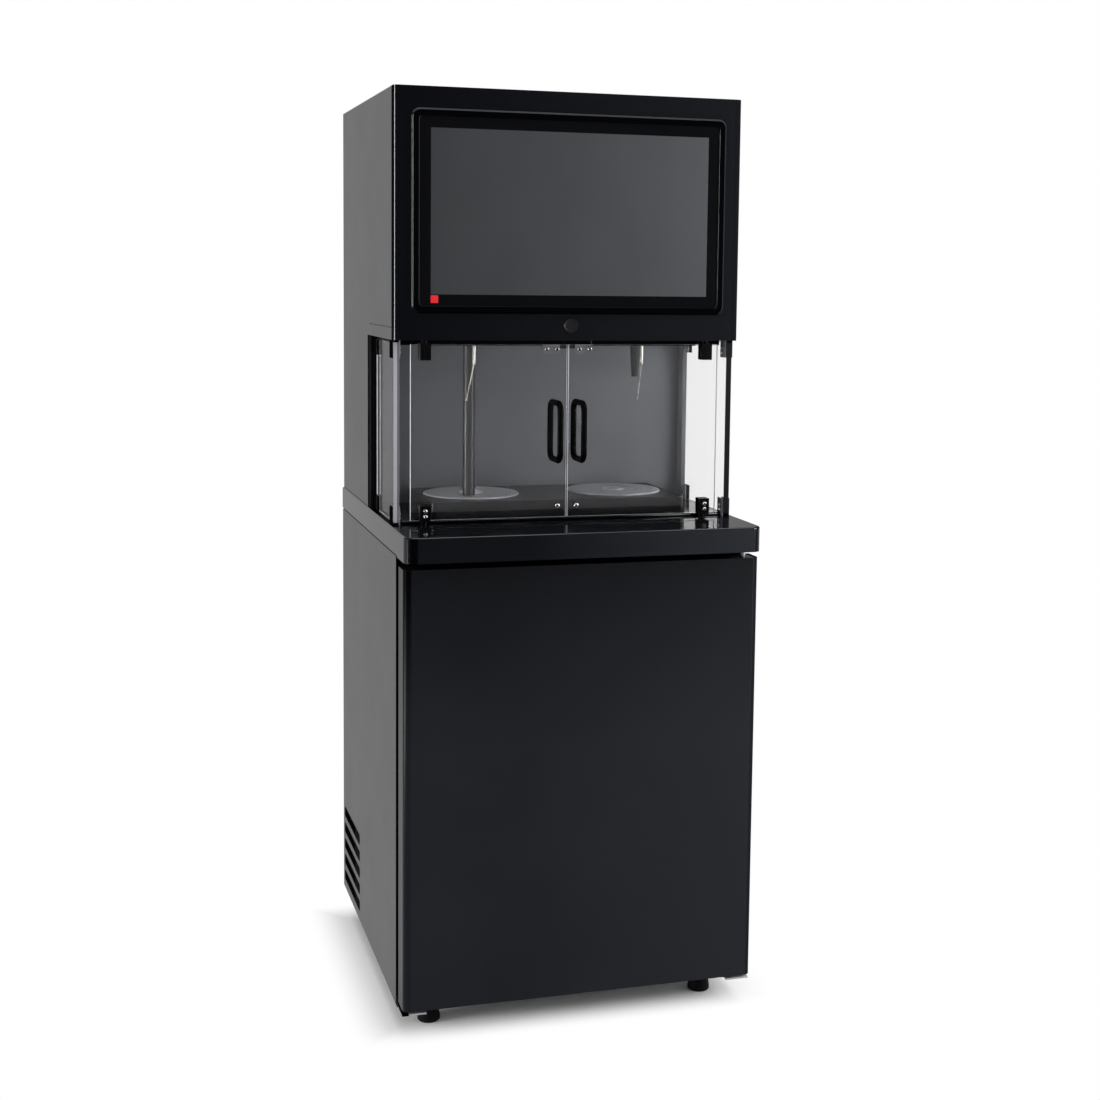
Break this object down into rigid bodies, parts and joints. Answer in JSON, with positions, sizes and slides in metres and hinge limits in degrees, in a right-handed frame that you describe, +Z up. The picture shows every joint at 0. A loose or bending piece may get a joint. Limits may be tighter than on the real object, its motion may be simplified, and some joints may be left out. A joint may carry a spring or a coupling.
{
  "type": "draft beer dispenser",
  "caption": "Tall black self-service draft beer dispenser: keg-cooler cabinet with hinged door, glazed dispensing chamber with swing doors, and a head with a touch screen and a push button.",
  "frame": {"origin": "on the floor under the middle of the worktop", "axes": "+X to the right as seen from the front, +Y to the back, +Z up"},
  "size_m": [0.604, 0.676, 1.553],
  "materials": {
    "cabinet_black": "satin",
    "base_steel": "matt",
    "foot_rubber": "matt",
    "foam": "matt",
    "liner_white": "satin",
    "worktop_black": "polished",
    "zinc": "bright",
    "door_black": "gloss",
    "keg_steel": "satin",
    "gas_grey": "gloss",
    "regulator_brass": "polished",
    "gas_blue": "satin",
    "line_clear": "gloss",
    "heat_aluminium": "mill",
    "compressor_black": "satin",
    "fan_plastic": "matt",
    "sill_black": "gloss",
    "tray_black": "satin",
    "plate_steel": "polished",
    "wall_grey": "gloss",
    "side_black": "satin",
    "front_black": "gloss",
    "soffit_black": "satin",
    "clear_panel": "polished",
    "clear_door": "polished",
    "fitting_black": "satin",
    "handle_black": "satin",
    "frame_black": "satin",
    "screen_dark": "gloss",
    "display_dark": "matt",
    "indicator_red": "satin",
    "button_black": "gloss",
    "nozzle_dark": "satin",
    "tube_dark": "gloss",
    "valve_grey": "matt"
  },
  "bodies": {
    "base": {"cabinet_shell": "cabinet_black", "base_pan": "base_steel", "feet": "foot_rubber", "cabinet_insulation": "foam", "inner_liner": "liner_white", "rear_grille": "cabinet_black", "worktop": "worktop_black", "hinge_brackets": "zinc", "keg_left": "keg_steel", "keg_right": "keg_steel", "keg_couplers": "keg_steel", "gas_cylinder": "gas_grey", "gas_regulator": "regulator_brass", "gas_line": "gas_blue", "beer_lines": "line_clear", "evaporator": "heat_aluminium", "compressor": "compressor_black", "condenser": "heat_aluminium", "sill": "sill_black", "tray_housing": "tray_black", "cup_plate_left": "plate_steel", "cup_plate_right": "plate_steel", "back_wall": "wall_grey", "jambs": "fitting_black", "cheek_left": "side_black", "cheek_right": "side_black", "top_cover": "side_black", "rear_cover": "side_black", "head_front": "front_black", "soffit": "soffit_black", "side_panel_left": "clear_panel", "side_panel_right": "clear_panel", "panel_clips": "fitting_black", "pivot_sockets": "fitting_black", "catch_block": "fitting_black", "screen_frame": "frame_black", "touch_glass": "screen_dark", "display_module": "display_dark", "indicator": "indicator_red", "button_housing": "fan_plastic", "nozzle_right": "nozzle_dark", "filling_tube": "tube_dark", "sensor_stems": "zinc", "dispense_valves": "valve_grey", "controller_box": "base_steel", "power_inlet": "fan_plastic"},
    "cooler_door": {"door_panel": "door_black", "door_foam": "foam", "door_liner": "liner_white", "door_gasket": "foot_rubber"},
    "left_door": {"leaf_left": "clear_door", "pivot_clips_left": "fitting_black", "handles_left": "handle_black", "strikes_left": "zinc"},
    "right_door": {"leaf_right": "clear_door", "pivot_clips_right": "fitting_black", "handles_right": "handle_black", "strikes_right": "zinc"},
    "button": {"button_cap": "button_black"},
    "fan": {"fan_blades": "fan_plastic"}
  },
  "joints": [
    {"name": "cooler_door_hinge", "type": "hinge", "parent": "base", "child": "cooler_door", "pos_m": [0.282, -0.3, 0.42], "axis": [0, 0, 1], "range_deg": [0, 110]},
    {"name": "left_door_hinge", "type": "hinge", "parent": "base", "child": "left_door", "pos_m": [-0.245, -0.195, 0.991], "axis": [0, 0, -1], "range_deg": [0, 100]},
    {"name": "right_door_hinge", "type": "hinge", "parent": "base", "child": "right_door", "pos_m": [0.245, -0.195, 0.991], "axis": [0, 0, 1], "range_deg": [0, 100]},
    {"name": "button_press", "type": "slide", "parent": "base", "child": "button", "axis": [0, 1, 0], "range_m": [0, 0.0025], "stiffness_N_per_m": 800},
    {"name": "fan_spin", "type": "hinge", "parent": "base", "child": "fan", "pos_m": [-0.118, 0.236, 0.153], "axis": [1, 0, 0], "continuous": true}
  ]
}
